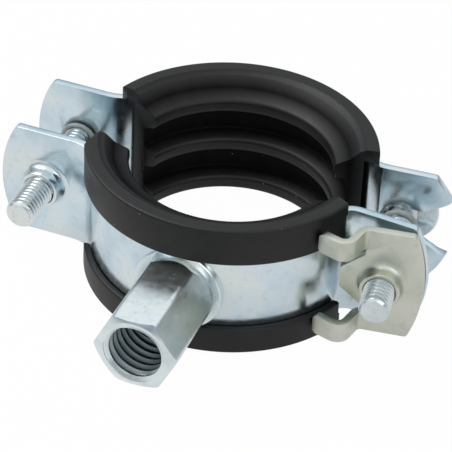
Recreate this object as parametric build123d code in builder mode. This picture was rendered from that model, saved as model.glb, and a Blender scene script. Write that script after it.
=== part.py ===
from build123d import *
import os
from math import asin, cos, degrees, radians, sin, sqrt, tan

# Two-part rubber lined pipe clamp, in millimetres.
# Z runs along the pipe and X through the ears. The front half, with the connection nut, is at -Y.

# Pipe and rubber
pipe_radius = 19.5  # the rib lands grip this radius
rib_height = 2.9
rib_land = 2.4  # length of a rib's flat land along the pipe
rib_pitch = 9.2
rib_foot = 4.8  # width of a rib where it leaves the wall
outer_rib_foot = 2.4  # from an outer rib's middle to the notch below the rim
rib_round = 0.9
wall_thickness = 2.7
rim_height = 2.6  # rubber beyond each edge of the strip
rim_flat = 3.9
rim_depth = 2.2
rim_round = 0.8
lip_thickness = 1.3
lip_opening = 12.8  # bare strip between the two lips
lip_round = 0.5
liner_clearance = 0.05
lip_seam = 0.3  # from the end of a lip to the bend of the strip

# Pressed strips
sheet = 1.5
strip_width = 23.2
neck_radius = 3.0  # bend between ring and ear, on the outer face
ear_left = 14.35  # from the ring's outer face to the corner of an ear
ear_right = 12.75
ear_bulge = 3.0
ear_corner_round = 0.6
ear_splay = 4.5  # the closing ears lean apart, degrees
front_left_depth = 7.4  # from the middle plane to an ear's inner face
front_right_depth = 5.6
rear_depth = 7.9

# How far the rubber stops short of the ears' inner faces, and the extra cut on the lips
front_left_inset = -0.8
front_left_lip_cut = 5.4
front_right_inset = 2.0
front_right_lip_cut = 1.4
rear_inset = 0.5
rear_lip_cut = 0.6

# M6 screws, with the thread left plain
screw_radius = 2.95
thread_clearance = 0.05
passing_radius = 3.4
screw_chamfer = 0.8
flange_radius = 6.9
flange_thickness = 1.5
head_radius = 5.0
head_height = 2.6
head_crown = 0.8
drive_slot = 1.3
drive_length = 7.2
drive_cross = 4.4
drive_depth = 1.9
head_gap = 0.1
left_screw_reach = 8.35  # from the ring's outer face to the screw
left_screw_length = 30.0
right_screw_length = 32.0
right_screw_reach = 10.2  # beyond the back face of the nut plate

# Extruded collars with the nut threads
collar_radius = 3.9
collar_height = 2.8
collar_flare = 1.3
collar_round = 0.3

# Retaining rings
retainer_radius = 4.4
retainer_thickness = 1.4
retainer_clearance = 0.06
retainer_gap = 0.3
retainer_round = 0.3

# Closing nut plate, which leans with its screw
plate_tilt = 8.5
plate_reach = 7.95  # from the ring's outer face to the screw at the plate's back
plate_y = -9.9
plate_sheet = 1.5
plate_inner = 3.4  # from the screw to the plate's inner edge
plate_corner = 5.5
plate_bulge = 2.3
tab_reach = 8.0
tab_tip = 4.2
tab_root = 12.0
hook_width = 4.2
hook_seat_angle = 32.0  # where a hook's tip rests on the rubber
hook_gap = 0.3
hook_foot = 5.9
hook_lean = 16.0
hook_bend = 1.9

# Slots in the closing ears
closed_slot_length = 9.6
closed_slot_reach = 8.25  # these three are from the ring's outer face
open_slot_bottom = 0.85
open_slot_mouth = 9.55
open_slot_flare = 30.0

# Connection nut, with its M10 and M8 threads left plain
nut_flats = 14.3
nut_length = 19.6
nut_chamfer_angle = 30.0
nut_face_edge = 0.5  # how far the turned face is inside the flats
nut_x = 0.4  # the nut is welded on a little off the middle of the strip
nut_z = -1.5
neck_length = 2.2  # turned down between the strip and the hexagon
neck_edge = 0.1
neck_rise_angle = 60.0
seat_radius = 9.1
seat_height = 0.4
seat_clearance = 0.2  # from the foot to the rubber lips
rod_radius = 5.0
rod_depth = 11.0
step_radius = 4.0
rod_chamfer = 0.9

# Sizes that follow
wall_radius = pipe_radius + rib_height
channel_inner = wall_radius + wall_thickness
strip_inner = channel_inner + liner_clearance
strip_middle = strip_inner + sheet / 2
strip_outer = strip_inner + sheet
channel_outer = strip_outer + liner_clearance
liner_outer = channel_outer + lip_thickness
channel_half = strip_width / 2 + liner_clearance
ear_corner_left = strip_outer + ear_left
ear_corner_right = strip_outer + ear_right
left_screw_x = -strip_outer - left_screw_reach
plate_x = strip_outer + plate_reach
slot_bottom_x = strip_outer + open_slot_bottom
slot_mouth_x = strip_outer + open_slot_mouth
lip_edge = lip_opening / 2
nut_face_radius = nut_flats / 2 - nut_face_edge
nut_neck_radius = nut_flats / 2 - neck_edge
liner_half = strip_width / 2 + rim_height
neck_middle = neck_radius + sheet / 2
collar_hole = screw_radius + thread_clearance
reach = ear_corner_left + ear_bulge + sheet

# The rear half is drawn like the front one and turned over about X
front_plane = Plane.XY
rear_plane = Plane(origin=(0, 0, 0), x_dir=(1, 0, 0), z_dir=(0, 0, -1))
ear_plane = Plane.XZ


def neck_angle(depth, splay):
    """Angle below X at which the ring turns into the bend of an ear."""
    bend_centre = depth + sheet / 2 + neck_middle * cos(radians(splay))
    return degrees(asin(bend_centre / (strip_middle + neck_middle)))


def strip_profile(plane, left_depth, right_depth, splay):
    """Folded edge of one pressed strip: ear, bend, half ring, bend, ear."""
    left = neck_angle(left_depth, 0)
    right = neck_angle(right_depth, splay)
    with BuildSketch(plane) as profile:
        with BuildLine():
            ring = CenterArc((0, 0), strip_middle, 180 + left, 180 - left - right)
            right_neck = JernArc(ring @ 1, ring % 1, neck_middle, right - 90 - splay)
            PolarLine(right_neck @ 1, reach - strip_inner, direction=right_neck % 1)
            left_neck = JernArc(ring @ 0, -(ring % 0), neck_middle, 90 - left)
            PolarLine(left_neck @ 1, reach - strip_inner, direction=left_neck % 1)
        trace(line_width=sheet)
    return profile.sketch


def ear_outline():
    """Strip seen along Y, with a bulging end on each ear."""
    half = strip_width / 2
    with BuildSketch(ear_plane.offset(-reach)) as outline:
        with BuildLine():
            Line((-ear_corner_left, half), (ear_corner_right, half))
            right = ear_corner_right
            ThreePointArc((right, half), (right + ear_bulge, 0), (right, -half))
            Line((right, -half), (-ear_corner_left, -half))
            left = -ear_corner_left
            ThreePointArc((left, -half), (left - ear_bulge, 0), (left, half))
        make_face()
        fillet(outline.vertices(), ear_corner_round)
    return outline.sketch


def liner_section():
    """Section of the rubber channel: three ribs inside, two lips outside."""
    with BuildSketch(Plane.XZ) as section:
        with BuildLine() as half:
            Polyline(
                (pipe_radius, 0),
                (pipe_radius, rib_land / 2),
                (wall_radius, rib_foot / 2),
                (wall_radius, rib_pitch - rib_foot / 2),
                (pipe_radius, rib_pitch - rib_land / 2),
                (pipe_radius, rib_pitch + rib_land / 2),
                (wall_radius, rib_pitch + outer_rib_foot),
                (wall_radius, liner_half - rim_depth),
                (liner_outer - rim_flat, liner_half),
                (liner_outer, liner_half),
                (liner_outer, lip_edge),
                (channel_outer, lip_edge),
                (channel_outer, channel_half),
                (channel_inner, channel_half),
                (channel_inner, 0),
            )
            mirror(half.edges(), about=Plane.XZ)
        make_face()
        rim_inner = liner_outer - rim_flat
        for radius, rounding in ((pipe_radius, rib_round), (liner_outer, lip_round), (rim_inner, rim_round)):
            corners = section.vertices().filter_by_position(Axis.X, radius - 0.01, radius + 0.01)
            fillet(corners, rounding)
    return section.sketch


def liner_mask(plane, left_end, left_cut, right_end, right_cut):
    """Region of the XY plane that one rubber half fills: radial ends, cut slanting at the lips."""
    ends = []
    for end, cut in ((left_end, left_cut), (right_end, right_cut)):
        inner = Vector(sqrt(channel_inner**2 - end**2), -end)
        outer = Vector(sqrt(liner_outer**2 - (end + cut) ** 2), -end - cut)
        ends.append((inner, inner + (outer - inner) * 4))
    (left_inner, left_far), (right_inner, right_far) = ends
    below = -2 * liner_outer
    end_depth = pipe_radius / channel_inner - 0.1  # the radial cuts reach past the ribs
    with BuildSketch(plane.offset(-liner_half)) as mask:
        with BuildLine():
            Polyline(
                (-left_far.X, below),
                (-left_far.X, left_far.Y),
                (-left_inner.X, left_inner.Y),
                (-left_inner.X * end_depth, left_inner.Y * end_depth),
                right_inner * end_depth,
                right_inner,
                right_far,
                (right_far.X, below),
                close=True,
            )
        make_face()
    return mask.sketch


def neck_relief(plane, side, depth, splay):
    """Region at one bend where the lips would run into the strip."""
    height = channel_outer * sin(radians(neck_angle(depth, splay))) + lip_seam
    with BuildSketch(plane) as relief:
        with Locations((side * reach / 2, -height / 2)):
            Rectangle(reach, height)
        Circle(channel_inner, mode=Mode.SUBTRACT)
    return relief.sketch


def circles_at(part, centre):
    """Round edges of a part that share one centre."""
    rounds = part.edges().filter_by(GeomType.CIRCLE)
    return rounds.filter_by(lambda edge: (edge.arc_center - centre).length < 0.001)


def screw_profile(plane, length):
    """Half section of a flanged pan head screw, on a plane whose Y runs along it to the head."""
    top = flange_thickness + head_height
    crown_radius = (head_radius**2 + head_crown**2) / (2 * head_crown)
    with BuildSketch(plane) as profile:
        with BuildLine():
            Polyline(
                (0, top),
                (0, -length),
                (screw_radius - screw_chamfer, -length),
                (screw_radius, screw_chamfer - length),
                (screw_radius, 0),
                (flange_radius, 0),
                (flange_radius, flange_thickness / 2),
                (head_radius, flange_thickness),
                (head_radius, top - head_crown),
            )
            RadiusArc((head_radius, top - head_crown), (0, top), crown_radius)
        make_face()
    return profile.sketch


def drive_recess(plane):
    """Slot with a cross, on top of the head."""
    with BuildSketch(Plane(plane.from_local_coords((0, flange_thickness + head_height, 0)),
                           x_dir=plane.x_dir, z_dir=plane.y_dir)) as recess:
        Rectangle(drive_length, drive_slot)
        Rectangle(drive_slot, drive_cross)
    return recess.sketch


# Screw axes: X is the radius and Y runs along the screw to its head
left_screw_plane = Plane(origin=(left_screw_x, rear_depth + sheet + head_gap, 0))
lean = radians(plate_tilt)
closing_plane = Plane(origin=(plate_x, plate_y, 0), x_dir=(cos(lean), sin(lean), 0))
right_screw_plane = Plane(
    closing_plane.from_local_coords((0, right_screw_length - right_screw_reach, 0)),
    x_dir=closing_plane.x_dir,
)

# Front strip: collar in the left ear, closed slot in the right one
left_collar_base = Plane(
    origin=(left_screw_x, -front_left_depth - sheet, 0), x_dir=(1, 0, 0), z_dir=(0, -1, 0)
)
left_collar_rim = left_collar_base.offset(collar_height)
with BuildPart() as front_band:
    profile = strip_profile(front_plane, front_left_depth, front_right_depth, ear_splay)
    extrude(profile, amount=strip_width / 2, both=True)
    extrude(ear_outline(), amount=2 * reach, mode=Mode.INTERSECT)
    with BuildSketch(left_collar_base):
        Circle(collar_radius)
    extrude(amount=collar_height)
    fillet(circles_at(front_band, left_collar_base.origin), collar_flare)
    fillet(circles_at(front_band, left_collar_rim.origin), collar_round)
    with BuildSketch(left_collar_rim):
        Circle(collar_hole)
    extrude(amount=-collar_height - sheet, mode=Mode.SUBTRACT)
    with BuildSketch(ear_plane):
        with Locations((strip_outer + closed_slot_reach, 0)):
            SlotOverall(closed_slot_length, 2 * passing_radius)
    extrude(amount=strip_inner, mode=Mode.SUBTRACT)

# Rear strip: clearance hole in the left ear, open slot with a flared mouth in the right one
with BuildPart() as rear_band:
    profile = strip_profile(rear_plane, rear_depth, rear_depth, ear_splay)
    extrude(profile, amount=strip_width / 2, both=True)
    extrude(ear_outline(), amount=2 * reach, mode=Mode.INTERSECT)
    with BuildSketch(ear_plane):
        with Locations((left_screw_x, 0)):
            Circle(passing_radius)
        with Locations((slot_bottom_x + passing_radius, 0)):
            Circle(passing_radius)
            Rectangle(reach, 2 * passing_radius, align=(Align.MIN, Align.CENTER))
        with BuildLine():
            run = reach - slot_mouth_x
            rise = passing_radius + run * tan(radians(open_slot_flare))
            Polyline(
                (slot_mouth_x, passing_radius),
                (slot_mouth_x + run, rise),
                (slot_mouth_x + run, -rise),
                (slot_mouth_x, -passing_radius),
                close=True,
            )
        make_face()
    extrude(amount=-strip_inner, mode=Mode.SUBTRACT)

# Rubber of the front half
front_left_end = front_left_depth + front_left_inset
front_right_end = front_right_depth + front_right_inset
with BuildPart() as front_liner:
    revolve(liner_section(), axis=Axis.Z)
    mask = liner_mask(front_plane, front_left_end, front_left_lip_cut, front_right_end, front_right_lip_cut)
    extrude(mask, amount=2 * liner_half, mode=Mode.INTERSECT)
    for side, depth, splay in ((-1, front_left_depth, 0), (1, front_right_depth, ear_splay)):
        relief = neck_relief(front_plane, side, depth, splay)
        extrude(relief, amount=channel_half, both=True, mode=Mode.SUBTRACT)
    with BuildSketch(Plane.XZ.offset(liner_outer + lip_thickness)):
        with Locations((nut_x, nut_z)):
            Circle(seat_radius + seat_clearance)
        Rectangle(reach, reach, align=(Align.CENTER, Align.MIN), mode=Mode.SUBTRACT)
    extrude(amount=strip_inner - lip_thickness - liner_outer, mode=Mode.SUBTRACT)

# Rubber of the rear half
rear_end = rear_depth + rear_inset
with BuildPart() as rear_liner:
    revolve(liner_section(), axis=Axis.Z)
    mask = liner_mask(rear_plane, rear_end, rear_lip_cut, rear_end, rear_lip_cut)
    extrude(mask, amount=2 * liner_half, mode=Mode.INTERSECT)
    for side, splay in ((-1, 0), (1, ear_splay)):
        relief = neck_relief(rear_plane, side, rear_depth, splay)
        extrude(relief, amount=channel_half, both=True, mode=Mode.SUBTRACT)

# Hexagon connection nut, turned at both ends, on a round foot that stops at the upper rubber lip
nut_face = Plane(origin=(nut_x, -strip_outer - nut_length, nut_z), x_dir=(1, 0, 0), z_dir=(0, -1, 0))
nut_corner = nut_flats / 2 / cos(radians(30))
with BuildPart() as connection_nut:
    with BuildSketch(nut_face):
        RegularPolygon(nut_flats / 2, 6, major_radius=False)
    extrude(amount=-nut_length)
    with BuildSketch(Plane(nut_face.origin, x_dir=(1, 0, 0), z_dir=(0, 0, 1))) as turned:
        with BuildLine():
            neck = nut_length - neck_length
            Polyline(
                (0, 0),
                (nut_face_radius, 0),
                (nut_corner, (nut_corner - nut_face_radius) * tan(radians(nut_chamfer_angle))),
                (nut_corner, neck - (nut_corner - nut_neck_radius) * tan(radians(neck_rise_angle))),
                (nut_neck_radius, neck),
                (nut_neck_radius, nut_length + seat_radius),
                (0, nut_length + seat_radius),
                close=True,
            )
        make_face()
    revolve(axis=Axis(nut_face.origin, (0, 1, 0)), mode=Mode.INTERSECT)
    with BuildSketch(nut_face.offset(-nut_length + seat_height)):
        Circle(seat_radius)
        with Locations((0, lip_edge - seat_clearance - nut_z)):
            Rectangle(reach, reach, align=(Align.CENTER, Align.MIN), mode=Mode.SUBTRACT)
    extrude(amount=-seat_height - seat_radius)
    with BuildSketch(Plane.XY):
        Circle(strip_outer)
    extrude(amount=reach, both=True, mode=Mode.SUBTRACT)
    with BuildSketch(nut_face):
        Circle(step_radius)
    extrude(amount=-nut_length, mode=Mode.SUBTRACT)
    with BuildSketch(nut_face):
        Circle(rod_radius)
    extrude(amount=-rod_depth, mode=Mode.SUBTRACT)
    with BuildSketch(nut_face):
        Circle(rod_radius + rod_chamfer)
    extrude(amount=-rod_chamfer, taper=45, mode=Mode.SUBTRACT)

# Screw that joins the left ears
with BuildPart() as left_screw:
    profile = screw_profile(left_screw_plane, left_screw_length)
    revolve(profile, axis=Axis(left_screw_plane.origin, left_screw_plane.y_dir))
    extrude(drive_recess(left_screw_plane), amount=-drive_depth, mode=Mode.SUBTRACT)

# Closing screw, which leans with the nut plate
with BuildPart() as right_screw:
    profile = screw_profile(right_screw_plane, right_screw_length)
    revolve(profile, axis=Axis(right_screw_plane.origin, right_screw_plane.y_dir))
    extrude(drive_recess(right_screw_plane), amount=-drive_depth, mode=Mode.SUBTRACT)

# Ring that keeps the left screw in the rear ear
left_ring_face = Plane(
    origin=(left_screw_x, rear_depth - retainer_gap, 0), x_dir=(1, 0, 0), z_dir=left_screw_plane.y_dir
)
with BuildPart() as left_retainer:
    with BuildSketch(left_ring_face):
        Circle(retainer_radius)
        Circle(screw_radius + retainer_clearance, mode=Mode.SUBTRACT)
    extrude(amount=-retainer_thickness)
    fillet(left_retainer.edges().filter_by(GeomType.CIRCLE).sort_by(SortBy.RADIUS)[-2:], retainer_round)

# Ring on the closing screw, just in front of the slotted ear
ring_place = (rear_depth - plate_y) / cos(lean) - retainer_radius * tan(lean) - retainer_gap
right_ring_face = Plane(
    closing_plane.from_local_coords((0, ring_place, 0)), x_dir=closing_plane.x_dir, z_dir=closing_plane.y_dir
)
with BuildPart() as right_retainer:
    with BuildSketch(right_ring_face):
        Circle(retainer_radius)
        Circle(screw_radius + retainer_clearance, mode=Mode.SUBTRACT)
    extrude(amount=-retainer_thickness)
    fillet(right_retainer.edges().filter_by(GeomType.CIRCLE).sort_by(SortBy.RADIUS)[-2:], retainer_round)

# Nut plate: a shield with a tab and two swan-neck hooks that rest on the rubber
plate_back = Plane(closing_plane.origin, x_dir=closing_plane.x_dir, z_dir=-closing_plane.y_dir)
plate_collar_base = plate_back.offset(plate_sheet)
plate_collar_rim = plate_collar_base.offset(collar_height)
plate_half = strip_width / 2
tip_angle = radians(hook_seat_angle)
foot_angle = radians(hook_lean)
foot_normal = Vector(-sin(foot_angle), -cos(foot_angle))
tip_point = Vector(cos(tip_angle), -sin(tip_angle)) * (liner_outer + hook_gap) + foot_normal * plate_sheet / 2
heel_point = tip_point + Vector(cos(foot_angle), -sin(foot_angle)) * hook_foot
root_point = closing_plane.from_local_coords((hook_bend - plate_inner, -plate_sheet / 2, 0))
knee_point = closing_plane.from_local_coords((-plate_inner - plate_sheet / 2, -plate_sheet / 2, 0))
with BuildPart() as nut_plate:
    with BuildSketch(plate_back):
        with BuildLine():
            Polyline(
                (plate_corner, plate_half),
                (-plate_inner, plate_half),
                (-plate_inner, tab_root / 2),
                (-tab_reach, tab_tip / 2),
                (-tab_reach, -tab_tip / 2),
                (-plate_inner, -tab_root / 2),
                (-plate_inner, -plate_half),
                (plate_corner, -plate_half),
            )
            bulge = plate_corner + plate_bulge
            ThreePointArc((plate_corner, -plate_half), (bulge, 0), (plate_corner, plate_half))
        make_face()
    extrude(amount=plate_sheet)
    with BuildSketch(Plane.XY.offset(plate_half - hook_width)):
        with BuildLine():
            FilletPolyline(root_point, knee_point, heel_point, tip_point, radius=hook_bend)
        trace(line_width=plate_sheet)
    extrude(amount=hook_width)
    mirror(about=Plane.XY)
    with BuildSketch(plate_collar_base):
        Circle(collar_radius)
    extrude(amount=collar_height)
    fillet(circles_at(nut_plate, plate_collar_base.origin), collar_flare)
    fillet(circles_at(nut_plate, plate_collar_rim.origin), collar_round)
    with BuildSketch(plate_collar_rim):
        Circle(collar_hole)
    extrude(amount=-collar_height - plate_sheet, mode=Mode.SUBTRACT)

front_band.part.label = "front_band"
rear_band.part.label = "rear_band"
front_liner.part.label = "front_liner"
rear_liner.part.label = "rear_liner"
connection_nut.part.label = "connection_nut"
left_screw.part.label = "left_screw"
right_screw.part.label = "right_screw"
left_retainer.part.label = "left_retainer"
right_retainer.part.label = "right_retainer"
nut_plate.part.label = "nut_plate"

os.makedirs("parts", exist_ok=True)
for piece in (
    front_band,
    rear_band,
    front_liner,
    rear_liner,
    connection_nut,
    left_screw,
    right_screw,
    left_retainer,
    right_retainer,
    nut_plate,
):
    export_step(piece.part, f"parts/{piece.part.label}.step")
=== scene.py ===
from math import asin, cos, pi, radians, sin, tan
import bpy
import bmesh
from mathutils import Matrix, Vector


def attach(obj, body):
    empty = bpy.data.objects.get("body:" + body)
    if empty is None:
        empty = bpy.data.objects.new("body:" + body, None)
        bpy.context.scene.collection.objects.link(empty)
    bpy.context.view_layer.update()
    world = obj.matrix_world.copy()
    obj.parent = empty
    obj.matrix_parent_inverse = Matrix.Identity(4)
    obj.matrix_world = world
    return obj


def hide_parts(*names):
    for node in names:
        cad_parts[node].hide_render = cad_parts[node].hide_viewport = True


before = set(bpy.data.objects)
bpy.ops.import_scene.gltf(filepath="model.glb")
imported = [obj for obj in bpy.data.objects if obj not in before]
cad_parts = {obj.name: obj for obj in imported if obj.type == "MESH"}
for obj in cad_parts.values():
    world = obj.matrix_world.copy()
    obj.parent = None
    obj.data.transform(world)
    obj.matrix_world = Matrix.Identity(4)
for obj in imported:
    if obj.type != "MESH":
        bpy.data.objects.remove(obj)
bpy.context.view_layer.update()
mm = 0.001
print("frame loaded")


# Materials

def linearColour(hexCode):
    channels = [int(hexCode[i:i + 2], 16) / 255 for i in (1, 3, 5)]
    return [c / 12.92 if c <= 0.04045 else ((c + 0.055) / 1.055) ** 2.4 for c in channels] + [1]


def addNode(tree, kind, values=None, links=None, **settings):
    node = tree.nodes.new(kind)
    for name, value in settings.items():
        setattr(node, name, value)
    for socket, value in (values or {}).items():
        node.inputs[socket].default_value = value
    for socket, source in (links or {}).items():
        tree.links.new(source, node.inputs[socket])
    return node


def newMaterial(name):
    material = bpy.data.materials.new(name)
    material.use_nodes = True
    tree = material.node_tree
    tree.nodes.clear()
    shader = addNode(tree, "ShaderNodeBsdfPrincipled")
    addNode(tree, "ShaderNodeOutputMaterial", links={"Surface": shader.outputs["BSDF"]})
    place = addNode(tree, "ShaderNodeTexCoord").outputs["Object"]
    return material, tree, shader, place


def setRamp(node, stops):
    ramp = node.color_ramp
    while len(ramp.elements) < len(stops):
        ramp.elements.new(0.5)
    for element, (position, colour) in zip(ramp.elements, stops):
        element.position = position
        element.color = colour


def noise(tree, place, size, detail, roughness=0.5):
    # Clouds of a size in mm
    values = {"Scale": 1 / (size * mm), "Detail": detail, "Roughness": roughness}
    return addNode(tree, "ShaderNodeTexNoise", values, {"Vector": place}).outputs["Fac"]


def ramped(tree, source, stops):
    node = addNode(tree, "ShaderNodeValToRGB", links={"Fac": source})
    setRamp(node, stops)
    return node.outputs["Color"]


def remap(tree, source, low, high, start=0.0, end=1.0):
    values = {"From Min": start, "From Max": end, "To Min": low, "To Max": high}
    return addNode(tree, "ShaderNodeMapRange", values, {"Value": source}).outputs["Result"]


def calculate(tree, operation, *terms):
    # Each term is a socket or a number
    node = addNode(tree, "ShaderNodeMath", operation=operation)
    for socket, term in zip(node.inputs, terms):
        if isinstance(term, bpy.types.NodeSocket):
            tree.links.new(term, socket)
        else:
            socket.default_value = term
    return node.outputs[0]


def blended(tree, factor, colour, hexCode):
    values = {"B": linearColour(hexCode)}
    links = {"Factor": factor, "A": colour}
    return addNode(tree, "ShaderNodeMix", values, links, data_type="RGBA").outputs["Result"]


def connectShader(tree, shader, colour, roughness, height, strength, relief):
    # The relief is in mm
    values = {"Strength": strength, "Distance": relief * mm}
    bump = addNode(tree, "ShaderNodeBump", values, {"Height": height})
    tree.links.new(colour, shader.inputs["Base Color"])
    tree.links.new(bump.outputs["Normal"], shader.inputs["Normal"])
    if roughness:
        tree.links.new(roughness, shader.inputs["Roughness"])


zincLooks = {
    "cloudSize": 9.0,  # mm, where the bath left the plating thicker
    "cloudSteps": (0.32, 0.52, 0.68),
    "spotSize": 1.6,
    "spotColour": "#8F9A98",
    "spotSteps": (0.56, 0.76),
    "spotDulling": (-0.05, 0.07),  # change of roughness between and on the spots
    "grainSize": 0.3,  # mm, drawn coarser than the real crystals so that it shows
    "scratchSpacing": 0.5,
    "scratchDulling": 0.08,
    "scratchDepth": 0.5,  # against the grain's depth
    "relief": 0.02,
    "boreDulling": 0.16,
}


def zincPlated(name, pale, deep, tint, spot, roughness, streaks, grainBump):
    # Cold rolled steel, electroplated with zinc and passivated: mirror-like but cloudy, with a faint blue
    # to yellow sheen, dull spots and fine rolling lines
    z = zincLooks
    material, tree, shader, place = newMaterial(name)
    clouds = noise(tree, place, z["cloudSize"], 2.0)
    colours = [linearColour(hexCode) for hexCode in (deep, pale, tint)]
    plating = ramped(tree, clouds, list(zip(z["cloudSteps"], colours)))
    spots = noise(tree, place, z["spotSize"], 4.0, 0.6)
    spotMask = remap(tree, spots, 0.0, spot, *z["spotSteps"])
    colour = blended(tree, spotMask, plating, z["spotColour"])
    grain = noise(tree, place, z["grainSize"], 2.0)
    lines = addNode(tree, "ShaderNodeMapping", {"Scale": streaks}, {"Vector": place}).outputs["Vector"]
    scratches = noise(tree, lines, z["scratchSpacing"], 2.0)
    low, high = [roughness + change for change in z["spotDulling"]]
    shadedColour = remap(tree, spots, low, high, 0.3, 0.7)
    rubbed = calculate(tree, "MULTIPLY", scratches, z["scratchDulling"])
    rough = calculate(tree, "ADD", shadedColour, rubbed)
    height = calculate(tree, "MULTIPLY_ADD", scratches, z["scratchDepth"], grain)
    connectShader(tree, shader, colour, rough, height, grainBump, z["relief"])
    shader.inputs["Metallic"].default_value = 1.0
    return material


def shadeAndDullInside(material, dark):
    # Painted shade down a bore: the colour is blended towards the given dark, and the roughness rises there
    tree = material.node_tree
    shader = tree.nodes["Principled BSDF"]
    inside = addNode(tree, "ShaderNodeAttribute", attribute_name="bore").outputs["Fac"]
    colour = shader.inputs["Base Color"].links[0].from_socket
    rough = shader.inputs["Roughness"].links[0].from_socket
    shadedColour = blended(tree, inside, colour, dark)
    rougher = calculate(tree, "MULTIPLY_ADD", inside, zincLooks["boreDulling"], rough)
    tree.links.new(shadedColour, shader.inputs["Base Color"])
    tree.links.new(rougher, shader.inputs["Roughness"])


rubberFinish = {
    "cloudSize": 3.5,
    "wear": (0.3, 0.7),  # the part of the clouds between dark and worn
    "speckSpacing": 1.5,
    "speckEdge": (0.05, 0.09),
    "specklessShare": 0.93,
    "grainSize": 0.3,
    "grainBump": 0.5,
    "relief": 0.05,
    "roughness": (0.38, 0.54),
    "shine": 0.36,
    # shine in the grooves, lowered as painted shade
    "grooveShadedShine": 0.05,
}


def mouldedRubber(name, dark, worn, dust):
    # EPDM profile, extruded: matt black-grey with a fine grain, paler where it was rubbed, and some dust
    r = rubberFinish
    material, tree, shader, place = newMaterial(name)
    clouds = noise(tree, place, r["cloudSize"], 5.0, 0.65)
    rubbed = ramped(tree, clouds, list(zip(r["wear"], (linearColour(dark), linearColour(worn)))))
    values = {"Scale": 1 / (r["speckSpacing"] * mm), "Randomness": 1.0}
    specks = addNode(tree, "ShaderNodeTexVoronoi", values, {"Vector": place})
    near = remap(tree, specks.outputs["Distance"], 1.0, 0.0, *r["speckEdge"])
    few = addNode(tree, "ShaderNodeSeparateColor", links={"Color": specks.outputs["Color"]})
    chosen = calculate(tree, "GREATER_THAN", few.outputs[0], r["specklessShare"])
    mask = calculate(tree, "MULTIPLY", near, chosen)
    colour = blended(tree, mask, rubbed, dust)
    grain = noise(tree, place, r["grainSize"], 3.0)
    rough = remap(tree, clouds, *r["roughness"])
    connectShader(tree, shader, colour, rough, grain, r["grainBump"], r["relief"])
    # Painted shade: the grooves between the ribs shine less than ribs and rims, so they look almost black
    grooveShadeMask = addNode(tree, "ShaderNodeAttribute", attribute_name="grooveShadeMask").outputs["Fac"]
    shine = remap(tree, grooveShadeMask, r["shine"], r["grooveShadedShine"])
    tree.links.new(shine, shader.inputs["Specular IOR Level"])
    return material


nylonLooks = {
    "mottleSize": 1.2,
    "mottleSteps": (0.3, 0.7),
    "bump": 0.3,
    "relief": 0.03,
    "roughness": 0.42,
}


def mouldedNylon(name, pale, grey):
    # Injection moulded ring, slightly waxy, with a soft mottle
    n = nylonLooks
    material, tree, shader, place = newMaterial(name)
    clouds = noise(tree, place, n["mottleSize"], 3.0)
    colour = ramped(tree, clouds, list(zip(n["mottleSteps"], (linearColour(grey), linearColour(pale)))))
    connectShader(tree, shader, colour, None, clouds, n["bump"], n["relief"])
    shader.inputs["Roughness"].default_value = n["roughness"]
    return material


bandZinc = zincPlated("bandZinc", pale="#D3E1E8", deep="#BDD0DB", tint="#DDE4E4", spot=0.2, roughness=0.16,
                      streaks=(1.0, 1.0, 9.0), grainBump=0.2)
nutZinc = zincPlated("nutZinc", pale="#E2EBEE", deep="#CFDADD", tint="#EAEEEB", spot=0.3, roughness=0.17,
                     streaks=(9.0, 1.0, 9.0), grainBump=0.22)
plateZinc = zincPlated("plateZinc", pale="#CACDC1", deep="#BFC3B5", tint="#D3D4CA", spot=0.3, roughness=0.34,
                       streaks=(1.0, 1.0, 5.0), grainBump=0.25)
screwZinc = zincPlated("screwZinc", pale="#DCE3E5", deep="#C3CBCC", tint="#E2E5E2", spot=0.4, roughness=0.2,
                       streaks=(1.0, 6.0, 1.0), grainBump=0.2)
# Painted shade down the nut's bore, darkened towards this grey-blue
shadeAndDullInside(nutZinc, "#7C878B")
linerRubber = mouldedRubber("linerRubber", dark="#0B0B0B", worn="#1A1918", dust="#A9A7A2")
ringNylon = mouldedNylon("ringNylon", pale="#C4CAC9", grey="#A3ABAA")
print("materials made")


# Shared shapes

def meshOf(shape, name="shape"):
    data = bpy.data.meshes.new(name)
    shape.to_mesh(data)
    shape.free()
    return data


def newPiece(name, shape, material, body, node, smoothAngle=32):
    data = meshOf(shape, name)
    data.materials.append(material)
    for face in data.polygons:
        face.use_smooth = True
    data.set_sharp_from_angle(angle=radians(smoothAngle))
    piece = bpy.data.objects.new(name, data)
    bpy.context.scene.collection.objects.link(piece)
    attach(piece, body)
    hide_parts(node)
    return piece


def paint(piece, name, shadeOf):
    # Give each vertex a value from 0 to 1, worked out from its place in mm
    shades = piece.data.attributes.new(name, "FLOAT", "POINT")
    for vert, shade in zip(piece.data.vertices, shades.data):
        shade.value = min(max(shadeOf(*(vert.co / mm)), 0), 1)


def combine(base, tools, operation):
    # Boolean of bmesh shapes, one tool after another, given back as a bmesh
    for tool in tools:
        items = []
        for shape in (base, tool):
            item = bpy.data.objects.new("working", meshOf(shape))
            bpy.context.scene.collection.objects.link(item)
            items.append(item)
        cut = items[0].modifiers.new("cut", "BOOLEAN")
        cut.operation = operation
        cut.solver = "EXACT"
        cut.object = items[1]
        depsgraph = bpy.context.evaluated_depsgraph_get()
        result = bpy.data.meshes.new_from_object(items[0].evaluated_get(depsgraph))
        base = bmesh.new()
        base.from_mesh(result)
        bpy.data.meshes.remove(result)
        for item in items:
            data = item.data
            bpy.data.objects.remove(item)
            bpy.data.meshes.remove(data)
    return base


def roundEdges(shape, width, angle=40, segments=2):
    # Soften every edge that bends by more than the angle
    sharp = [e for e in shape.edges if len(e.link_faces) == 2 and e.calc_face_angle(0) > radians(angle)]
    bmesh.ops.bevel(shape, geom=sharp, offset=width, offset_type="OFFSET", affect="EDGES", segments=segments,
                    profile=0.5, material=-1, clamp_overlap=True)
    return shape


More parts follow.
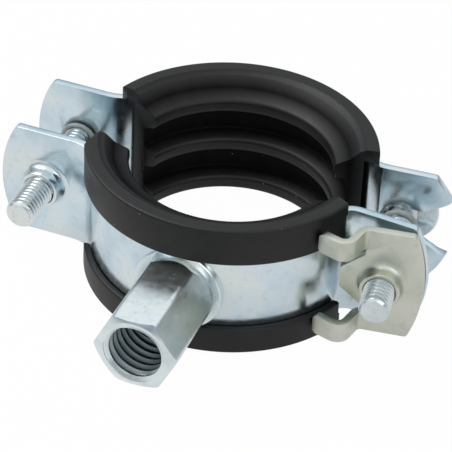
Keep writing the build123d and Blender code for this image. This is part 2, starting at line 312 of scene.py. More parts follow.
def closeUp(shape, distance=0.001 * mm):
    bmesh.ops.remove_doubles(shape, verts=shape.verts, dist=distance)
    bmesh.ops.recalc_face_normals(shape, faces=shape.faces)
    return shape


def chain(shape, points):
    verts = [shape.verts.new(p) for p in points]
    edges = [shape.edges.new(pair) for pair in zip(verts, verts[1:])]
    return verts, edges


def turned(profile, steps=64):
    # Lathe a profile of (radius, height) in mm about Z
    shape = bmesh.new()
    verts, edges = chain(shape, [(r * mm, 0, h * mm) for r, h in profile])
    bmesh.ops.spin(shape, geom=verts + edges, cent=(0, 0, 0), axis=(0, 0, 1), angle=2 * pi, steps=steps,
                   use_merge=True)
    return closeUp(shape)


def threaded(major, depth, pitch, low, high, steps=48):
    # Closed solid with a right-hand thread along Z, cut level at both ends
    shape = bmesh.new()
    turns = int((high - low) / pitch) + 4
    start = low - 2 * pitch
    crest, root = pitch / 8, pitch / 4
    points = []
    for turn in range(turns):
        base = start + turn * pitch
        points += [(major - depth, base), (major - depth, base + root),
                   (major, base + (pitch + root - crest) / 2), (major, base + (pitch + root + crest) / 2)]
    points.append((major - depth, start + turns * pitch))
    verts, edges = chain(shape, [(r * mm, 0, h * mm) for r, h in points])
    bmesh.ops.spin(shape, geom=verts + edges, cent=(0, 0, 0), axis=(0, 0, 1), dvec=(0, 0, pitch * mm / steps),
                   angle=2 * pi, steps=steps, use_merge=False)
    closeUp(shape)
    for level, clearOuter in ((low, False), (high, True)):
        cut = bmesh.ops.bisect_plane(shape, geom=shape.verts[:] + shape.edges[:] + shape.faces[:], dist=1e-7,
                                     plane_co=(0, 0, level * mm), plane_no=(0, 0, 1), clear_outer=clearOuter,
                                     clear_inner=not clearOuter)
        rim = [e for e in cut["geom_cut"] if isinstance(e, bmesh.types.BMEdge) and e.is_valid]
        bmesh.ops.contextual_create(shape, geom=rim)
    return closeUp(shape)


def joined(shapes):
    whole = bmesh.new()
    for shape in shapes:
        data = meshOf(shape)
        whole.from_mesh(data)
        bpy.data.meshes.remove(data)
    return whole


def placed(shape, origin, direction, spin=0):
    # Take a shape made about Z to a place and direction
    turn = Vector((0, 0, 1)).rotation_difference(Vector(direction)).to_matrix().to_4x4()
    move = Matrix.Translation(Vector(origin) * mm) @ turn @ Matrix.Rotation(radians(spin), 4, "Z")
    bmesh.ops.transform(shape, matrix=move, verts=shape.verts)
    return shape


def rounded(corners, closed=True, steps=5):
    # Outline through corners of (x, y, radius), with an arc at each corner that has a radius
    points = []
    for i, (x, y, radius) in enumerate(corners):
        inside = closed or 0 < i < len(corners) - 1
        if not radius or not inside:
            points.append((x, y))
            continue
        here = Vector((x, y))
        back = (Vector(corners[i - 1][:2]) - here).normalized()
        ahead = (Vector(corners[(i + 1) % len(corners)][:2]) - here).normalized()
        half = back.angle(ahead) / 2
        centre = here + (back + ahead).normalized() * radius / sin(half)
        first = here + back * radius / tan(half) - centre
        last = here + ahead * radius / tan(half) - centre
        for step in range(steps + 1):
            bent = first.lerp(last, step / steps).normalized() * radius
            points.append(tuple(centre + bent))
    return points


def pushOut(shape, faces, push):
    # Turn flat faces into a solid
    grown = bmesh.ops.extrude_face_region(shape, geom=faces)
    verts = [item for item in grown["geom"] if isinstance(item, bmesh.types.BMVert)]
    bmesh.ops.translate(shape, vec=push, verts=verts)
    return closeUp(shape)


def prism(outline, low, high, axis="Z"):
    # Solid with an outline in mm: XY pushed along Z, or XZ pushed along Y
    shape = bmesh.new()
    if axis == "Z":
        verts = [shape.verts.new((x * mm, y * mm, low * mm)) for x, y in outline]
        push = (0, 0, (high - low) * mm)
    else:
        verts = [shape.verts.new((x * mm, low * mm, y * mm)) for x, y in outline]
        push = (0, (high - low) * mm, 0)
    return pushOut(shape, [shape.faces.new(verts)], push)


def circle(x, y, radius, steps=48):
    turns = [2 * pi * i / steps for i in range(steps)]
    return [(x + radius * cos(turn), y + radius * sin(turn)) for turn in turns]


# Sizes shared by several pieces, in mm
clamp = {
    "channelInner": 25.1,
    "sheet": 1.5,
    "stripHalf": 11.6,
    "gap": 0.05,  # between the strip and the rubber channel
    "lip": 1.3,
    "frontLips": (6.4, 8.6),  # from the middle to the upper and the lower lip, the lower one being narrower
    "rearLips": (6.4, 6.4),
    "linerHalf": 14.2,
    "frontBends": (7.0, 3.75),  # middle radius of the left and right bends
    "rearBends": (8.0, 5.0),
    "frontLeftDepth": 7.4,
    "frontRightDepth": 5.6,
    "rearDepth": 7.9,
    "earSplay": 4.5,
    "leftScrewX": -35.0,
    "cutReach": 40,  # cutting shapes run this far, past every side of the clamp
}
stripInner = clamp["channelInner"] + clamp["gap"]
stripMiddle = stripInner + clamp["sheet"] / 2
stripOuter = stripInner + clamp["sheet"]
channelOuter = stripOuter + clamp["gap"]
linerOuter = channelOuter + clamp["lip"]


def neckAngle(depth, splay, bend):
    centre = depth + clamp["sheet"] / 2 + bend * cos(radians(splay))
    return asin(centre / (stripMiddle + bend))


def bulgedEnd(corner, bulge, cornerRound, steps=8):
    # Rounded end of an ear or plate: an arc through both corners, as corners for rounded()
    half = clamp["stripHalf"]
    radius = (half ** 2 + bulge ** 2) / (2 * bulge)
    spread = asin(half / radius)
    middle = corner + bulge - radius
    turns = [spread * i / steps for i in range(-steps, steps + 1)]
    arc = [(middle + radius * cos(turn), radius * sin(turn), 0) for turn in turns]
    for end in (0, -1):
        arc[end] = (*arc[end][:2], cornerRound)
    return arc


# Screws with their threads

screwLook = {
    "major": 2.95,
    "threadDepth": 0.62,
    "pitch": 1.0,
    "tipChamfer": 0.55,
    "flangeRadius": 6.9,
    "flangeThickness": 1.5,
    "flangeEdge": 0.25,
    "flangeRoll": 0.2,
    "flangeDish": 0.05,
    "headRadius": 5.0,
    "headHeight": 2.6,
    "headEdge": 0.25,
    "headFillet": 0.3,
    "crown": 0.8,
    "crownShape": ((0.75, 0.4), (0.4, 0.125)),  # shares of the head's radius and of the crown
    "slotWidth": 1.3,
    "slotLength": 7.2,
    "crossLength": 4.4,
    "slotDepth": 1.9,
}
screwPlaces = {
    "leftLength": 30.0,
    "leftSpin": 20,
    "leftGap": 0.1,  # between the flange and the ear
    "rightLength": 32.0,
    "rightSpin": 65,
    "rightLean": 8.5,
    "platePoint": (34.6, -9.9),  # where the right screw's axis meets the nut plate
    "rightSeat": 21.8,  # from there to the flange
}


def buildScrew(length):
    # Along +Z, with the seat of the flange at Z 0 and the tip at -length
    s = screwLook
    core = s["major"] + 0.01
    blank = turned([(0, -length), (s["major"] - s["tipChamfer"], -length), (core, s["tipChamfer"] - length),
                    (core, 0.2), (0, 0.2)])
    rod = threaded(s["major"], s["threadDepth"], s["pitch"], -length - 1, 0.6)
    shank = combine(rod, [blank], "INTERSECT")
    flange = s["flangeRadius"]
    radius = s["headRadius"]
    top = s["flangeThickness"] + s["headHeight"]
    profile = [(0, 0), (flange - s["flangeEdge"], 0), (flange, s["flangeEdge"]),
               (flange, s["flangeThickness"] / 2),
               (flange - s["flangeRoll"], s["flangeThickness"] / 2 + s["flangeRoll"]),
               (radius + s["headEdge"], s["flangeThickness"] - s["flangeDish"]),
               (radius, s["flangeThickness"] + s["headFillet"]),
               (radius, top - s["crown"] - s["headFillet"]),
               (radius - s["headEdge"], top - s["crown"])]
    profile += [(radius * out, top - s["crown"] * down) for out, down in s["crownShape"]]
    head = turned(profile + [(0, top)])
    cutters = []
    for long, wide in ((s["slotLength"], s["slotWidth"]), (s["slotWidth"], s["crossLength"])):
        cutter = bmesh.new()
        bmesh.ops.create_cube(cutter, size=1)
        bmesh.ops.scale(cutter, vec=(long * mm, wide * mm, 2 * s["slotDepth"] * mm), verts=cutter.verts)
        bmesh.ops.translate(cutter, vec=(0, 0, top * mm), verts=cutter.verts)
        cutters.append(cutter)
    return joined([shank, combine(head, cutters, "DIFFERENCE")])


leftSeat = (clamp["leftScrewX"], clamp["rearDepth"] + clamp["sheet"] + screwPlaces["leftGap"], 0)
lean = radians(screwPlaces["rightLean"])
screwAxis = Vector((-sin(lean), cos(lean), 0))
plateOrigin = Vector((*screwPlaces["platePoint"], 0))
rightSeat = plateOrigin + screwAxis * screwPlaces["rightSeat"]
leftScrew = placed(buildScrew(screwPlaces["leftLength"]), leftSeat, (0, 1, 0), screwPlaces["leftSpin"])
newPiece("leftScrewThreaded", leftScrew, screwZinc, "left_screw", "left_screw")
rightScrew = placed(buildScrew(screwPlaces["rightLength"]), rightSeat, screwAxis, screwPlaces["rightSpin"])
newPiece("rightScrewThreaded", rightScrew, screwZinc, "right_screw", "right_screw")
print("screws made")


# Connection nut

nutLook = {
    "place": (0.4, -1.5),  # X and Z, a little off the middle of the strip
    "flats": 14.3,
    "length": 20.8,
    "root": 3,  # how far it runs in under the strip's outer face
    "cornerRound": 1.1,
    "roll": 3.5,  # degrees, as it was welded on
    "neckRadius": 7.05,
    "neckLength": 1.1,
    "neckRise": 60,
    "faceRadius": 6.75,
    "faceRise": 30,
    "faceEdge": ((0.16, 0.12), (-0.14, 0)),  # outwards and down, from the edge of the face
    "mouthRadius": 6.2,
    "mouthEdge": ((0.14, 0), (-0.06, 0.1)),
    "mouthDepth": 0.5,
    "rodMajor": 6.0,
    "rodThread": 0.8,
    "rodCore": 0.78,
    "rodPitch": 1.75,
    "rodDepth": 11.0,
    "stepMajor": 4.0,
    "stepThread": 0.68,
    "stepCore": 0.65,
    "stepPitch": 1.25,
    "stepCone": 0.8,
    "seatRadius": 8.6,
    "seatHeight": 0.4,
    "seatEdge": 0.15,
    "seatTop": 7.7,  # the foot is cut off here to pass the upper rubber lip
    "boreEdge": 0.1,  # the bore's surface is looked for within the thread's radius and this
    "shadeFrom": 0.4,  # the painted shade in the bore begins here, in mm from the face
    "shadeLength": 2.5,
}


def buildNut():
    # Along +Z towards the rod, with the strip's outer face at Z 0
    n = nutLook
    top = n["length"]
    root = -n["root"]
    corner = n["flats"] / 2 / cos(radians(30))
    turns = [radians(60 * i + n["roll"]) for i in range(6)]
    hexagon = [(corner * cos(turn), corner * sin(turn), n["cornerRound"]) for turn in turns]
    bar = prism(rounded(hexagon), root / 2, top + 1)
    wide = corner + 1
    boreRadius = n["rodMajor"] - n["rodCore"]
    stepRadius = n["stepMajor"] - n["stepCore"]
    boreEnd = top - n["rodDepth"]
    profile = [(n["neckRadius"], root), (n["neckRadius"], n["neckLength"]),
               (wide, n["neckLength"] + (wide - n["neckRadius"]) * tan(radians(n["neckRise"]))),
               (wide, top - (wide - n["faceRadius"]) * tan(radians(n["faceRise"])))]
    profile += [(n["faceRadius"] + out, top - down) for out, down in n["faceEdge"]]
    profile += [(n["mouthRadius"] + out, top - down) for out, down in n["mouthEdge"]]
    profile += [(boreRadius, top - n["mouthDepth"]), (boreRadius, boreEnd),
                (stepRadius, boreEnd - n["stepCone"]), (stepRadius, root), profile[0]]
    body = combine(bar, [turned(profile, 96)], "INTERSECT")
    rod = threaded(n["rodMajor"], n["rodThread"], n["rodPitch"], boreEnd, top + 2)
    step = threaded(n["stepMajor"], n["stepThread"], n["stepPitch"], -2, boreEnd + 0.5)
    body = combine(body, [rod, step], "DIFFERENCE")
    foot = turned([(stepRadius, root), (n["seatRadius"], root),
                   (n["seatRadius"], n["seatHeight"] - n["seatEdge"]),
                   (n["seatRadius"] - n["seatEdge"], n["seatHeight"]), (stepRadius, n["seatHeight"]),
                   (stepRadius, root)], 96)
    # Both cutting shapes run well past the foot
    trim = prism([(-12, n["seatTop"]), (12, n["seatTop"]), (12, 20), (-12, 20)], -5, 5)
    barrel = circle(-n["place"][0], -stripOuter, stripOuter, 240)
    drum = prism(barrel, -clamp["cutReach"], clamp["cutReach"], "Y")
    return joined([body, combine(foot, [trim, drum], "DIFFERENCE")])


def boreShade(x, y, z):
    if (x - nutX) ** 2 + (z - nutZ) ** 2 >= (nutLook["rodMajor"] + nutLook["boreEdge"]) ** 2:
        return 0
    return (y + stripOuter + nutLook["length"] - nutLook["shadeFrom"]) / nutLook["shadeLength"]


nutX, nutZ = nutLook["place"]
nutShape = placed(buildNut(), (nutX, -stripOuter, nutZ), (0, -1, 0))
nutPiece = newPiece("connectionNutThreaded", nutShape, nutZinc, "front_half", "connection_nut",
                    30)
# Painted shade down the bore, growing from the face inwards
paint(nutPiece, "bore", boreShade)
print("connection nut made")


# Pressed strips

bandLook = {
    "earLeft": (41.0, 3.0),  # X of the corners, and how far the rounded end reaches past them
    "earRight": (39.4, 3.0),
    "earCurled": (37.9, 4.3),
    "earRun": 30,  # the ears are made this long and then cut to their outline
    "cornerRound": 1.0,
    "edgeRound": 0.09,
    "collarRadius": 3.9,
    "collarHeight": 2.8,
    "collarFlare": 1.3,
    "collarSink": 0.4,  # of the flare's foot in the sheet
    "collarRim": ((0, 0.3), (0.1, 0.09), (0.3, 0)),  # inwards and down, from the rim
    "collarMouth": (0.25, 0.2),  # width and depth of the chamfer inside the rim
    "threadGap": 0.05,
    "tappedHole": 0.2,  # radius added to the thread where it passes the sheet
    "screwHole": 3.4,
    "slotMiddle": 34.9,
    "slotLength": 9.6,
    "openSlotBottom": 27.5,
    "openSlotMouth": 36.2,
    "openSlotFlare": 30,
    "openSlotEnd": 50,  # past the ear's end
    "openingReach": 30,
}
tipLook = {
    "start": 39.2,  # X where the curl begins
    "radius": 2.0,
    "angle": 20,
    "run": 20,
}


def curledTip(start, normal, slant, steps=8):
    # The tips beside the open slot, curled away from the nut plate; from the end inwards
    c = tipLook
    straight = Vector((cos(slant), -sin(slant)))
    start = start + straight * (c["start"] - start.x) / straight.x
    centre = start + normal * c["radius"]
    curl = []
    for i in range(steps + 1):
        turn = slant + radians(c["angle"]) * i / steps
        out = Vector((-sin(turn), -cos(turn)))
        curl.append((centre - out * c["radius"], out))
    last, out = curl[-1]
    curl.append((last + Vector((cos(turn), -sin(turn))) * c["run"], out))
    return curl[::-1]


def stripPath(leftDepth, rightDepth, bends, curled, ringSteps=120, neckSteps=20):
    # Middle line of a front strip from ear to ear, as points with their outward normals
    path = []
    for side, depth, splay, run in zip((-1, 1), (leftDepth, rightDepth), (0, clamp["earSplay"]), bends):
        slant = radians(splay)
        start = neckAngle(depth, splay, run)
        centre = Vector((cos(start), -sin(start))) * (stripMiddle + run)
        bend = []
        for i in range(neckSteps + 1):
            angle = pi / 2 - slant + (pi / 2 + slant - start) * i / neckSteps
            out = Vector((cos(angle), sin(angle)))
            bend.append((centre + out * run, -out))
        last, normal = bend[0]
        if curled and side > 0:
            bend = curledTip(last, normal, slant) + bend
        else:
            bend.insert(0, (last + Vector((cos(slant), -sin(slant))) * bandLook["earRun"], normal))
        bend = [(Vector((side * p.x, p.y)), Vector((side * n.x, n.y))) for p, n in bend]
        if side < 0:
            path += bend
            begin = pi + start
            continue
        finish = 2 * pi - start
        for i in range(1, ringSteps):
            angle = begin + (finish - begin) * i / ringSteps
            out = Vector((cos(angle), sin(angle)))
            path.append((out * stripMiddle, out))
        path += bend[::-1]
    return path


def buildStrip(leftDepth, rightDepth, bends, curled, openings):
    b = bandLook
    half = clamp["stripHalf"]
    shape = bmesh.new()
    rows = []
    for point, out in stripPath(leftDepth, rightDepth, bends, curled):
        skins = (point + out * clamp["sheet"] / 2, point - out * clamp["sheet"] / 2)
        rows.append([shape.verts.new((p.x * mm, p.y * mm, -half * mm)) for p in skins])
    faces = [shape.faces.new((*here, *there[::-1])) for here, there in zip(rows, rows[1:])]
    pushOut(shape, faces, (0, 0, 2 * half * mm))
    outline = []
    for side, end in ((1, b["earCurled"] if curled else b["earRight"]), (-1, b["earLeft"])):
        outline += [(side * x, side * z, rounding) for x, z, rounding in bulgedEnd(*end, b["cornerRound"])]
    bounding = prism(rounded(outline), -clamp["cutReach"], clamp["cutReach"], "Y")
    shape = combine(shape, [bounding], "INTERSECT")
    shape = combine(shape, [prism(opening, -b["openingReach"], 0, "Y") for opening in openings], "DIFFERENCE")
    return roundEdges(closeUp(shape, 0.004 * mm), b["edgeRound"] * mm, 45, 2)


def buildCollar(steps=8):
    # Extruded collar with its bore, along +Z from the sheet
    b = bandLook
    radius = b["collarRadius"]
    height = b["collarHeight"]
    flare = b["collarFlare"]
    profile = [(radius + flare, -b["collarSink"])]
    for i in range(steps + 1):
        angle = pi / 2 * i / steps
        profile.append((radius + flare * (1 - sin(angle)), flare * (1 - cos(angle))))
    profile += [(radius - inwards, height - down) for inwards, down in b["collarRim"]]
    major = screwLook["major"]
    wide, deep = b["collarMouth"]
    bore = major + b["threadGap"]
    foot = major + b["collarSink"]
    profile += [(major + wide, height), (bore, height - deep), (bore, -clamp["sheet"]),
                (foot, -clamp["sheet"]), (foot, -b["collarSink"]), profile[0]]
    return turned(profile, 64)


def turnedOver(shape):
    # From the front to the rear half: half a turn about X
    bmesh.ops.transform(shape, matrix=Matrix.Rotation(pi, 4, "X"), verts=shape.verts)
    return shape


def stadium(x, length, radius, steps=16):
    # Outline of a slot with round ends
    reach = length / 2 - radius
    turns = [pi * i / steps for i in range(steps + 1)]
    right = [(x + reach + radius * sin(turn), radius * cos(turn)) for turn in turns]
    return right + [(2 * x - px, -pz) for px, pz in right]


leftHole = circle(clamp["leftScrewX"], 0, screwLook["major"] + bandLook["tappedHole"])
closedSlot = stadium(bandLook["slotMiddle"], bandLook["slotLength"], bandLook["screwHole"])
frontStrip = buildStrip(clamp["frontLeftDepth"], clamp["frontRightDepth"], clamp["frontBends"], False,
                        [leftHole, closedSlot])
collarPlace = (clamp["leftScrewX"], -clamp["frontLeftDepth"] - clamp["sheet"], 0)
frontCollar = placed(buildCollar(), collarPlace, (0, -1, 0))
newPiece("frontStrip", joined([frontStrip, frontCollar]), bandZinc, "front_half", "front_band")


def buildOpenSlot(steps=16):
    b = bandLook
    radius = b["screwHole"]
    mouth = b["openSlotMouth"]
    end = b["openSlotEnd"]
    centre = b["openSlotBottom"] + radius
    turns = [pi * i / steps for i in range(steps + 1)]
    outline = [(centre - radius * sin(turn), -radius * cos(turn)) for turn in turns]
    wide = radius + (end - mouth) * tan(radians(b["openSlotFlare"]))
    return outline + [(mouth, radius), (end, wide), (end, -wide), (mouth, -radius)]


passingHole = circle(clamp["leftScrewX"], 0, bandLook["screwHole"])
rearStrip = turnedOver(buildStrip(clamp["rearDepth"], clamp["rearDepth"], clamp["rearBends"], True,
                                  [passingHole, buildOpenSlot()]))
newPiece("rearStrip", rearStrip, bandZinc, "rear_half", "rear_band")
print("strips made")


# Rubber halves

rubberLook = {
    "pipeRadius": 19.5,
    "wallRadius": 22.4,
    "ribPitch": 9.2,
    "ribLand": 1.2,  # half of the flat land along the pipe
    "ribFoot": 2.4,
    "ribRound": 0.95,
    "footRound": 0.7,
    "notch": 11.8,
    "notchRound": 0.25,
    "rimInner": 24.2,
    "rimFall": 0.6,
    "rimRound": 0.7,
    "rimCrease": 25.4,  # a fine moulding line runs round the rim here
    "creaseWidth": 0.12,
    "creaseDepth": 0.16,
    "creaseRound": 0.05,
    "lipRound": 0.5,
    "channelRound": 0.15,
    "endRound": 0.28,
    "neckRoom": 0.3,  # around the bend between ring and ear
    "footRoom": 0.2,  # around the connection nut's foot
    "frontEnds": ((6.6, 5.4), (7.6, 1.4)),  # where each half ends, and the extra cut on its lips
    "rearEnds": ((8.4, 0.6), (8.4, 0.6)),
    "grooveTop": 0.5,  # the painted shade begins here, above the ribs' lands, where the shine falls off
    "grooveDepth": 1.8,
    "grooveEdge": 0.3,  # further out than the wall and this, it is the rims
}


def rubberSide(edge):
    # Upper half of the section, as corners of (radius, height, rounding)
    r = rubberLook
    half = clamp["linerHalf"]
    channelHalf = clamp["stripHalf"] + clamp["gap"]
    return [
        (r["pipeRadius"], r["ribLand"], r["ribRound"]),
        (r["wallRadius"], r["ribFoot"], r["footRound"]),
        (r["wallRadius"], r["ribPitch"] - r["ribFoot"], r["footRound"]),
        (r["pipeRadius"], r["ribPitch"] - r["ribLand"], r["ribRound"]),
        (r["pipeRadius"], r["ribPitch"] + r["ribLand"], r["ribRound"]),
        (r["wallRadius"], r["notch"], r["notchRound"]),
        (r["rimInner"], half - r["rimFall"], r["rimRound"]),
        (r["rimCrease"] - r["creaseWidth"], half - r["creaseDepth"], 0),
        (r["rimCrease"], half, r["creaseRound"]),
        (linerOuter, half, r["lipRound"]),
        (linerOuter, edge, r["lipRound"]),
        (channelOuter, edge, r["channelRound"]),
        (channelOuter, channelHalf, 0),
        (clamp["channelInner"], channelHalf, 0),
    ]


def rubberSection(lips):
    lower = [(x, -z, rounding) for x, z, rounding in rubberSide(lips[1])[::-1]]
    return rounded(rubberSide(lips[0]) + lower)


def neckRelief(side, height, steps=12):
    # Outline that frees the strip's bend from the channel
    inner = clamp["channelInner"]
    far = 45
    spread = asin(height / inner)
    turns = [spread * i / steps for i in range(steps + 1)]
    arc = [(side * inner * cos(turn), -inner * sin(turn)) for turn in turns]
    return arc + [(side * far, -height), (side * far, 0)]


def footOutline(steps=48):
    # The connection nut's foot with some room, where it passes the rubber
    radius = nutLook["seatRadius"] + rubberLook["footRoom"]
    lowest = asin(-nutZ / radius)
    turns = [pi - lowest + (pi + 2 * lowest) * i / steps for i in range(steps + 1)]
    return [(nutX + radius * cos(turn), nutZ + radius * sin(turn)) for turn in turns]


def buildRubber(ends, depths, bends, lips, footCut):
    half = clamp["linerHalf"] + 1
    inner = clamp["channelInner"]
    channelHalf = clamp["stripHalf"] + clamp["gap"]
    cutters = []
    sides = []
    for side, (end, lipCut), depth, bend, splay in zip((-1, 1), ends, depths, bends, (0, clamp["earSplay"])):
        near = Vector((side * (inner ** 2 - end ** 2) ** 0.5, -end))
        far = Vector((side * (linerOuter ** 2 - (end + lipCut) ** 2) ** 0.5, -end - lipCut))
        far = near + (far - near) * 4  # well outside the rubber, on the same slant
        sides.append([(far.x, -60), tuple(far), tuple(near), tuple(near * 0.65)])
        height = channelOuter * sin(neckAngle(depth, splay, bend)) + rubberLook["neckRoom"]
        cutters.append(prism(neckRelief(side, height), -channelHalf, channelHalf))
    if footCut:
        cutters.append(prism(footOutline(), -32, -stripInner, "Y"))
    shape = bmesh.new()
    verts = [shape.verts.new((x * mm, 0, z * mm)) for x, z in rubberSection(lips)]
    edges = [shape.edges.new(pair) for pair in zip(verts, verts[1:] + verts[:1])]
    bmesh.ops.spin(shape, geom=verts + edges, cent=(0, 0, 0), axis=(0, 0, 1), angle=2 * pi, steps=200,
                   use_merge=True)
    closeUp(shape)
    shape = combine(shape, [prism(sides[0] + sides[1][::-1], -half, half)], "INTERSECT")
    shape = combine(shape, cutters, "DIFFERENCE")
    return roundEdges(closeUp(shape, 0.004 * mm), rubberLook["endRound"] * mm, 50, 2)


def grooveShade(x, y, z):
    r = rubberLook
    radius = (x ** 2 + y ** 2) ** 0.5
    if radius >= r["wallRadius"] + r["grooveEdge"]:
        return 0
    return (radius - r["pipeRadius"] - r["grooveTop"]) / r["grooveDepth"]


frontDepths = (clamp["frontLeftDepth"], clamp["frontRightDepth"])
rearDepths = (clamp["rearDepth"], clamp["rearDepth"])
frontRubber = buildRubber(rubberLook["frontEnds"], frontDepths, clamp["frontBends"], clamp["frontLips"], True)
frontPiece = newPiece("frontRubber", frontRubber, linerRubber, "front_half", "front_liner", 40)
rearRubber = buildRubber(rubberLook["rearEnds"], rearDepths, clamp["rearBends"], clamp["rearLips"], False)
rearPiece = newPiece("rearRubber", turnedOver(rearRubber), linerRubber, "rear_half", "rear_liner",
                     40)
# Painted shade in the grooves between the ribs
for piece in (frontPiece, rearPiece):
    paint(piece, "grooveShadeMask", grooveShade)
print("rubber made")


# Nut plate with its two hooks

plateLook = {
    "inner": -3.4,  # X from the screw's axis, like all places across the plate
    "corner": 5.5,
    "bulge": 2.3,
    "tab": -8.0,
    "tabTip": 2.1,
    "tabRoot": 6.0,
    "cornerRound": 0.8,
    "edgeRound": 0.28,
    "screwHole": 0.2,  # radius added to the thread
    "hookWidth": 4.2,
    "hookThinning": 0.02,  # keeps the hooks' faces clear of the plate's
    "hookInset": 0.01,
    "tipRound": 1.0,
    "tipEdge": 1.2,  # the edges across the tip are longer than this
    "hookBend": 1.9,
    "hookSeatAngle": 32.0,
    "hookGap": 0.3,
    "hookFoot": 5.9,
    "hookLean": 16.0,
}


def hookLine():
    # Middle line of a hook, from its root in the plate to its tip on the rubber
    p = plateLook
    across = Vector((cos(lean), sin(lean)))
    along = Vector((-sin(lean), cos(lean)))
    level = plateOrigin.to_2d() - along * clamp["sheet"] / 2
    root = level + across * (p["hookBend"] + p["inner"])
    knee = level + across * (p["inner"] - clamp["sheet"] / 2)
    seat = radians(p["hookSeatAngle"])
    foot = radians(p["hookLean"])
    tip = Vector((cos(seat), -sin(seat))) * (linerOuter + p["hookGap"])
    tip += Vector((-sin(foot), -cos(foot))) * clamp["sheet"] / 2
    heel = tip + Vector((cos(foot), -sin(foot))) * p["hookFoot"]
    corners = [(*root, 0), (*knee, p["hookBend"]), (*heel, p["hookBend"]), (*tip, 0)]
    return [Vector(point) for point in rounded(corners, False, 12)]


def buildHook(line, low, high):
    p = plateLook
    thickness = clamp["sheet"] - p["hookThinning"]
    left, right = [], []
    for i, point in enumerate(line):
        heading = (line[min(i + 1, len(line) - 1)] - line[max(i - 1, 0)]).normalized()
        side = Vector((-heading.y, heading.x)) * thickness / 2
        left.append(point + side)
        right.append(point - side)
    hook = prism([tuple(point) for point in left + right[::-1]], low + p["hookInset"], high - p["hookInset"])
    tipCorners = [e for e in hook.edges if e.calc_length() > p["tipEdge"] * mm
                  and abs(e.verts[0].co.z - e.verts[1].co.z) < 0.1 * mm
                  and all((v.co.xy / mm - line[-1]).length < thickness for v in e.verts)]
    bmesh.ops.bevel(hook, geom=tipCorners, offset=p["tipRound"] * mm, offset_type="OFFSET",
                    affect="EDGES", segments=5, profile=0.5, material=-1)
    return hook


def buildPlate():
    # Placed like the object: X across the plate, -Y along the screw's tip, Z along the pipe
    p = plateLook
    half = clamp["stripHalf"]
    tab = [(p["inner"], half, 0), (p["inner"], p["tabRoot"], p["cornerRound"]),
           (p["tab"], p["tabTip"], p["cornerRound"])]
    outline = bulgedEnd(p["corner"], p["bulge"], p["cornerRound"])
    outline += tab + [(x, -z, rounding) for x, z, rounding in tab[::-1]]
    plate = prism(rounded(outline), -clamp["sheet"], 0, "Y")
    move = Matrix.Translation(plateOrigin * mm) @ Matrix.Rotation(lean, 4, "Z")
    bmesh.ops.transform(plate, matrix=move, verts=plate.verts)
    line = hookLine()
    for side in (-1, 1):
        low, high = sorted((side * half, side * (half - p["hookWidth"])))
        plate = combine(plate, [buildHook(line, low, high)], "UNION")
    # The hole is cut after the edges are rounded, which would otherwise leave a seam in the plate's face
    plate = roundEdges(closeUp(plate, 0.02 * mm), p["edgeRound"] * mm, 35, 3)
    hole = prism(circle(0, 0, screwLook["major"] + p["screwHole"]), -5, 5)
    return combine(plate, [placed(hole, plateOrigin, screwAxis)], "DIFFERENCE")


plateCollar = placed(buildCollar(), plateOrigin - screwAxis * clamp["sheet"], -screwAxis)
newPiece("nutPlateHooked", joined([buildPlate(), plateCollar]), plateZinc, "nut_plate", "nut_plate")
print("nut plate made")


# Retaining rings behind the rear ears

ringLook = {
    "outer": 3.8,
    "inner": 3.01,
    "thickness": 1.0,
    "outerRound": 0.3,
    "innerRounds": (0.15, 0.3),  # at the ear and away from it
    "gap": 0.3,
}


def buildRing():
    # Along +Z, with the face that meets the ear at Z 0
    g = ringLook
    near, far = g["innerRounds"]
    bottom = -g["thickness"]
    profile = rounded([(g["inner"], 0, near), (g["outer"], 0, g["outerRound"]),
                       (g["outer"], bottom, g["outerRound"]), (g["inner"], bottom, far)])
    return turned(profile + profile[:1], 72)


leftRingFace = Vector((clamp["leftScrewX"], clamp["rearDepth"] - ringLook["gap"], 0))
ringPlace = (clamp["rearDepth"] - plateOrigin.y) / cos(lean) - ringLook["outer"] * tan(lean) - ringLook["gap"]
newPiece("leftRing", placed(buildRing(), leftRingFace, (0, 1, 0)), ringNylon, "rear_half", "left_retainer")
newPiece("rightRing", placed(buildRing(), plateOrigin + screwAxis * ringPlace, screwAxis), ringNylon,
         "right_retainer", "right_retainer")
print("rings made")


# Floor, light and camera

studio = {
    "floorColour": "#F4F5F6",
    "floorSize": 3.0,  # m
    "floorGap": 0.02,  # mm below the rubber
    "floorLift": 0.985,  # how far the floor is lifted towards white for the camera
    "floorShine": 0.6,  # and for reflections in the metal
    "fill": 0.2,
    "sky": (  # what the metal mirrors, from the horizon up
        (0.0, (0.80, 0.83, 0.86, 1)),
        (0.12, (0.16, 0.19, 0.23, 1)),
        (0.34, (0.62, 0.68, 0.73, 1)),
        (0.58, (0.94, 0.98, 1.0, 1)),
        (0.9, (1.0, 1.0, 1.0, 1)),
    ),
    "lamps": (  # name, place and size in m, power in W
        ("keyLamp", (-0.36, 0.0, 0.52), 0.4, 2.2),
        ("sideLamp", (0.45, -0.35, 0.35), 0.4, 0.5),
    ),
    "lens": 196.14,
    "cameraPlace": (0.129387, -0.358212, 0.281717),
    "cameraTurn": (52.9425, -2.2926, 21.6562),  # degrees
}


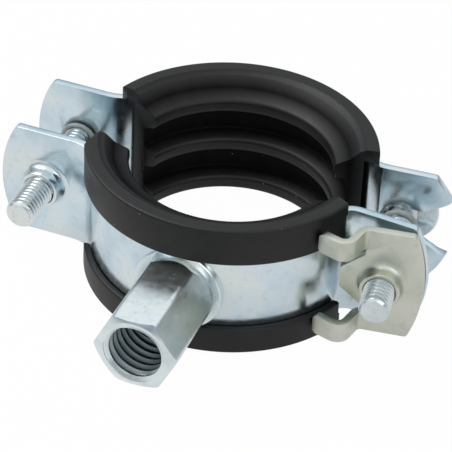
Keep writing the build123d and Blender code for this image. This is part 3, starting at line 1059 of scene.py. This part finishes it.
def buildFloor():
    shape = bmesh.new()
    bmesh.ops.create_grid(shape, x_segments=8, y_segments=8, size=studio["floorSize"])
    level = -(clamp["linerHalf"] + studio["floorGap"]) * mm
    bmesh.ops.translate(shape, vec=(0, 0, level), verts=shape.verts)
    data = meshOf(shape, "studioFloor")
    material = bpy.data.materials.new("floorPaper")
    material.use_nodes = True
    tree = material.node_tree
    tree.nodes.clear()
    matt = addNode(tree, "ShaderNodeBsdfDiffuse", {"Color": linearColour(studio["floorColour"])})
    white = addNode(tree, "ShaderNodeEmission", {"Color": (1, 1, 1, 1), "Strength": 1.0})
    rays = addNode(tree, "ShaderNodeLightPath").outputs
    seen = calculate(tree, "MAXIMUM", rays["Is Camera Ray"], rays["Is Transmission Ray"])
    shine = calculate(tree, "MULTIPLY", rays["Is Glossy Ray"], studio["floorShine"])
    lift = calculate(tree, "MULTIPLY_ADD", seen, studio["floorLift"], shine)
    both = addNode(tree, "ShaderNodeMixShader", {}, {0: lift, 1: matt.outputs[0], 2: white.outputs[0]})
    addNode(tree, "ShaderNodeOutputMaterial", links={"Surface": both.outputs[0]})
    data.materials.append(material)
    floor = bpy.data.objects.new("studioFloor", data)
    bpy.context.scene.collection.objects.link(floor)


def buildWorld():
    world = bpy.data.worlds.new("studioWorld")
    bpy.context.scene.world = world
    world.use_nodes = True
    tree = world.node_tree
    tree.nodes.clear()
    direction = addNode(tree, "ShaderNodeTexCoord").outputs["Generated"]
    height = addNode(tree, "ShaderNodeSeparateXYZ", links={"Vector": direction}).outputs["Z"]
    sky = ramped(tree, height, studio["sky"])
    fill = addNode(tree, "ShaderNodeBackground", {"Color": (1, 1, 1, 1), "Strength": studio["fill"]})
    shown = addNode(tree, "ShaderNodeBackground", {"Strength": 1.0}, {"Color": sky})
    rays = addNode(tree, "ShaderNodeLightPath").outputs
    seen = calculate(tree, "MAXIMUM", rays["Is Camera Ray"], rays["Is Glossy Ray"])
    seen = calculate(tree, "MAXIMUM", seen, rays["Is Transmission Ray"])
    both = addNode(tree, "ShaderNodeMixShader", {}, {0: seen, 1: fill.outputs[0], 2: shown.outputs[0]})
    addNode(tree, "ShaderNodeOutputWorld", links={"Surface": both.outputs[0]})


def softLamp(name, place, size, power):
    # A square lamp that faces the clamp
    lamp = bpy.data.lights.new(name, "AREA")
    lamp.shape = "SQUARE"
    lamp.size = size
    lamp.energy = power
    item = bpy.data.objects.new(name, lamp)
    item.location = place
    item.rotation_euler = (Vector((0, 0, 0)) - Vector(place)).to_track_quat("-Z", "Y").to_euler()
    bpy.context.scene.collection.objects.link(item)


buildFloor()
buildWorld()
for lampValues in studio["lamps"]:
    softLamp(*lampValues)

camera = bpy.data.cameras.new("photoCamera")
camera.lens = studio["lens"]
camera.sensor_width = 36
camera.clip_end = 10
cameraItem = bpy.data.objects.new("photoCamera", camera)
cameraItem.location = studio["cameraPlace"]
cameraItem.rotation_euler = [radians(turn) for turn in studio["cameraTurn"]]
bpy.context.scene.collection.objects.link(cameraItem)
bpy.context.scene.camera = cameraItem
bpy.context.scene.view_settings.view_transform = "Standard"
print("stage made")
